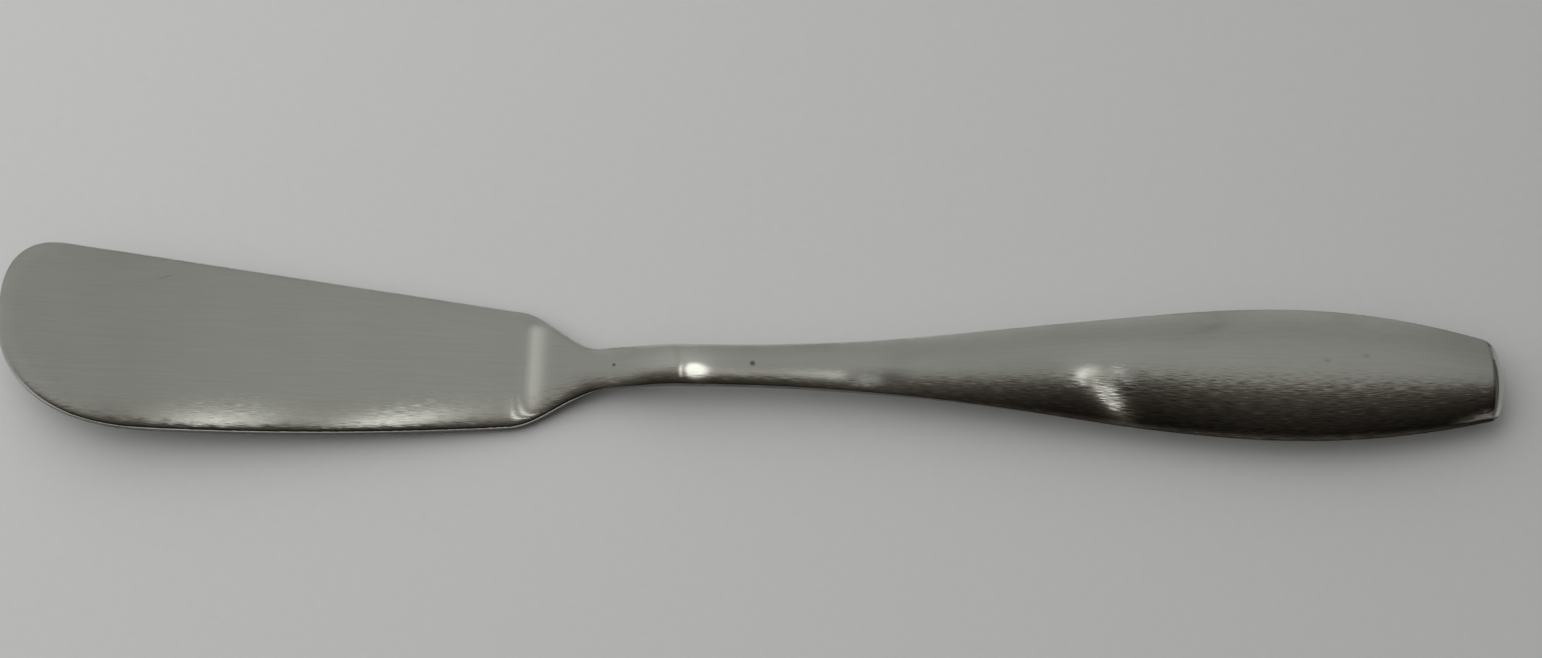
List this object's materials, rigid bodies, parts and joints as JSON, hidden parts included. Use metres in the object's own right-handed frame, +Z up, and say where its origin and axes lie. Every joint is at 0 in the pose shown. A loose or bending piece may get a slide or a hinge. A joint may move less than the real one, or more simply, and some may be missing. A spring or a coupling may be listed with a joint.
{
  "type": "butter knife",
  "caption": "Satin steel butter knife with a wide, flat, round-tipped blade that lifts towards the tip, a slim neck and a crowned handle that swells and tapers to a blunt butt.",
  "frame": {"origin": "on the table, under the middle of the knife's bounding box, with the knife lying on its side as it rests", "axes": "+X runs along the knife from the tip to the butt, +Y from the cutting edge to the spine, +Z up from the table"},
  "size_m": [0.16, 0.0212, 0.0072],
  "materials": {
    "blade_steel": "satin, brushed along the blade",
    "handle_steel": "satin, brushed along the handle",
    "cement": "matte",
    "solder": "satin, ground flush with the steel"
  },
  "bodies": {
    "root": {"blade": "blade_steel", "upper_shell": "handle_steel", "lower_shell": "handle_steel", "cement_core": "cement", "shell_solder": "solder", "neck_solder": "solder"}
  },
  "joints": []
}
